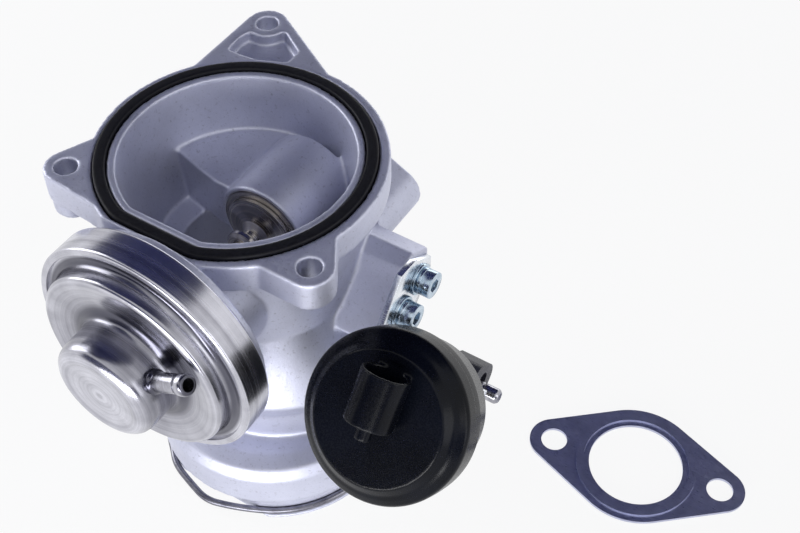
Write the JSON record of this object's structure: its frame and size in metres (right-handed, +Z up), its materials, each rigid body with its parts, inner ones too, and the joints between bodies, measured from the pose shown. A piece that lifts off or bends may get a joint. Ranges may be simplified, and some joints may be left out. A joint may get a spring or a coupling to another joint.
{
  "type": "exhaust gas recirculation valve",
  "caption": "Cast valve body with a vacuum-worked gas valve, a vacuum-worked throttle flap, a sealed manifold flange and a loose pipe gasket.",
  "frame": {"origin": "centre of the hose ring's lower face, on the surface it stands on", "axes": "+Z up, square out of the manifold flange; +Y towards the exhaust pipe flange, along the gas valve's axis; +X towards the flap lever, along the flap shaft"},
  "size_m": [0.2074, 0.1368, 0.1166],
  "materials": {
    "cast_aluminium": "matte cast",
    "seal_rubber": "matte",
    "spring_wire": "drawn wire",
    "bright_steel": "turned",
    "bush_bronze": "sintered",
    "capsule_steel": "spun, bright",
    "zinc_screw": "bluish zinc",
    "plated_sheet": "pressed",
    "cap_steel": "pressed",
    "shaft_steel": "ground",
    "flap_alloy": "satin",
    "lever_steel": "dark phosphated",
    "black_plastic": "satin black",
    "rod_end_plastic": "satin dark",
    "zinc_plate": "bright zinc",
    "gasket_steel": "rolled sheet"
  },
  "bodies": {
    "housing": {"housing": "cast_aluminium", "manifold_seal": "seal_rubber", "wire_clip": "spring_wire", "valve_seat": "bright_steel", "guide_bush": "bush_bronze", "stem_seal": "seal_rubber", "capsule_base": "capsule_steel", "base_screws": "zinc_screw", "crimp_ring": "capsule_steel", "capsule_cover": "capsule_steel", "vacuum_nipple": "capsule_steel", "capsule_diaphragm": "seal_rubber", "valve_spring": "spring_wire", "shaft_bushes": "bush_bronze", "shaft_cap": "cap_steel", "actuator_cover": "black_plastic", "port_nipple": "black_plastic", "actuator_shell": "black_plastic", "rod_bush": "bush_bronze", "actuator_diaphragm": "seal_rubber", "actuator_spring": "spring_wire", "bracket": "zinc_plate", "shell_studs": "zinc_screw", "stud_nuts": "zinc_screw", "flat_washers": "zinc_screw", "spring_washers": "zinc_screw", "bracket_screws": "zinc_screw", "pipe_gasket": "gasket_steel"},
    "valve": {"valve_poppet": "bright_steel", "stem_collar": "bright_steel", "backing_plate": "plated_sheet", "spring_plate": "plated_sheet", "stem_nut": "zinc_screw"},
    "flap": {"flap_shaft": "shaft_steel", "flap_plate": "flap_alloy", "flap_screws": "zinc_screw", "crank_lever": "lever_steel", "crank_pin": "shaft_steel", "shaft_nut": "zinc_screw"},
    "rod": {"pull_rod": "shaft_steel", "rod_end": "rod_end_plastic", "rod_plate": "plated_sheet"}
  },
  "joints": [
    {"name": "valve_lift", "type": "slide", "parent": "housing", "child": "valve", "axis": [0, -1, 0], "range_m": [0, 0.006], "stiffness_N_per_m": 2000, "springref_m": -0.008, "deforming": ["capsule_diaphragm", "valve_spring"]},
    {"name": "flap_turn", "type": "hinge", "parent": "housing", "child": "flap", "pos_m": [-0.003, 0.008, 0.0345], "axis": [1, 0, 0], "range_deg": [0, 66], "stiffness_Nm_per_rad": 0.05, "springref_deg": -34.38},
    {"name": "rod_pull", "type": "slide", "parent": "housing", "child": "rod", "axis": [0, -0.7547, 0.6561], "range_m": [0, 0.01589], "deforming": ["actuator_diaphragm", "actuator_spring"]}
  ],
  "couplings": [
    {"joint": "rod_pull", "follows": "flap_turn", "m_per_rad": 0.013766}
  ]
}
